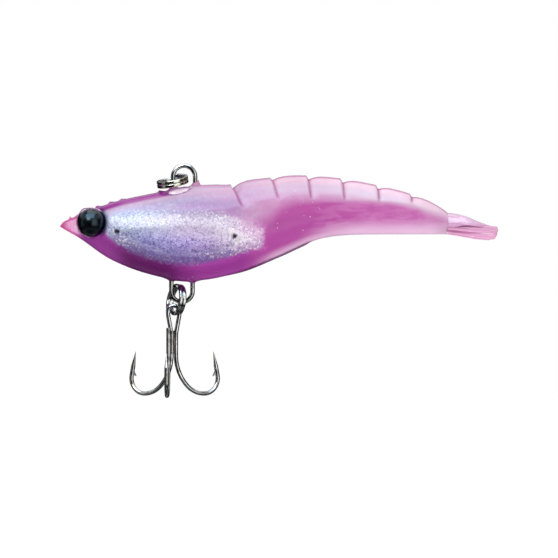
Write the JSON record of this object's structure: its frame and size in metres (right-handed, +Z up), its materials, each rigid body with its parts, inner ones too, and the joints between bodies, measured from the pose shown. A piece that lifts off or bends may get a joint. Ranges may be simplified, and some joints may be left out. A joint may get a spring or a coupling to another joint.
{
  "type": "soft prawn vibration lure on a jig weight",
  "caption": "Soft translucent prawn lure moulded over a glittering lead jig weight, with a ringed tail, a tail fan, wire eyes, split rings and a treble hook.",
  "frame": {"origin": "centre of the wire eye on the prawn's back, where the line is tied", "axes": "+X from the head to the tail, +Z up through the back, +Y to the prawn's left; +Y is also along the hole of the wire eye"},
  "size_m": [0.0948, 0.0188, 0.0506],
  "materials": {
    "soft_rubber": "gloss",
    "fan_rubber": "gloss",
    "lead_glitter": "satin",
    "dark_nickel": "polished",
    "braze": "satin",
    "bead_black": "gloss"
  },
  "bodies": {
    "prawn": {"soft_body_front": "soft_rubber", "lead_weight": "lead_glitter", "wire_harness": "dark_nickel", "eye_pin": "dark_nickel", "eye_bead_left": "bead_black", "eye_bead_right": "bead_black"},
    "tail": {"soft_body_rear": "soft_rubber"},
    "fan": {"telson": "fan_rubber", "uropod_inner_left": "fan_rubber", "uropod_inner_right": "fan_rubber", "uropod_outer_left": "fan_rubber", "uropod_outer_right": "fan_rubber"},
    "tie_ring": {"line_tie_ring": "dark_nickel"},
    "hook_ring": {"hook_ring": "dark_nickel"},
    "treble": {"treble_double_wire": "dark_nickel", "treble_single_wire": "dark_nickel", "treble_braze": "braze"}
  },
  "joints": [
    {"name": "tail_flex", "type": "hinge", "parent": "prawn", "child": "tail", "pos_m": [0.0344, 0, -0.00715], "axis": [0, 1, 0], "range_deg": [-18, 25], "stiffness_Nm_per_rad": 0.02},
    {"name": "fan_flex", "type": "hinge", "parent": "tail", "child": "fan", "pos_m": [0.0563, 0, -0.00995], "axis": [0, 1, 0], "range_deg": [-20, 20], "stiffness_Nm_per_rad": 0.004},
    {"name": "tie_ring_swing", "type": "hinge", "parent": "prawn", "child": "tie_ring", "pos_m": [0, 0, 0], "axis": [0, 1, 0], "range_deg": [0, 160]},
    {"name": "hook_ring_turn", "type": "hinge", "parent": "prawn", "child": "hook_ring", "pos_m": [-0.00165, 0, -0.0267], "axis": [0.8991, 0.4067, -0.1618], "range_deg": [-70, 70]},
    {"name": "treble_swing", "type": "hinge", "parent": "hook_ring", "child": "treble", "pos_m": [-0.00219, 0, -0.0297], "axis": [-0.4003, 0.9135, 0.072], "range_deg": [-35, 35]}
  ]
}
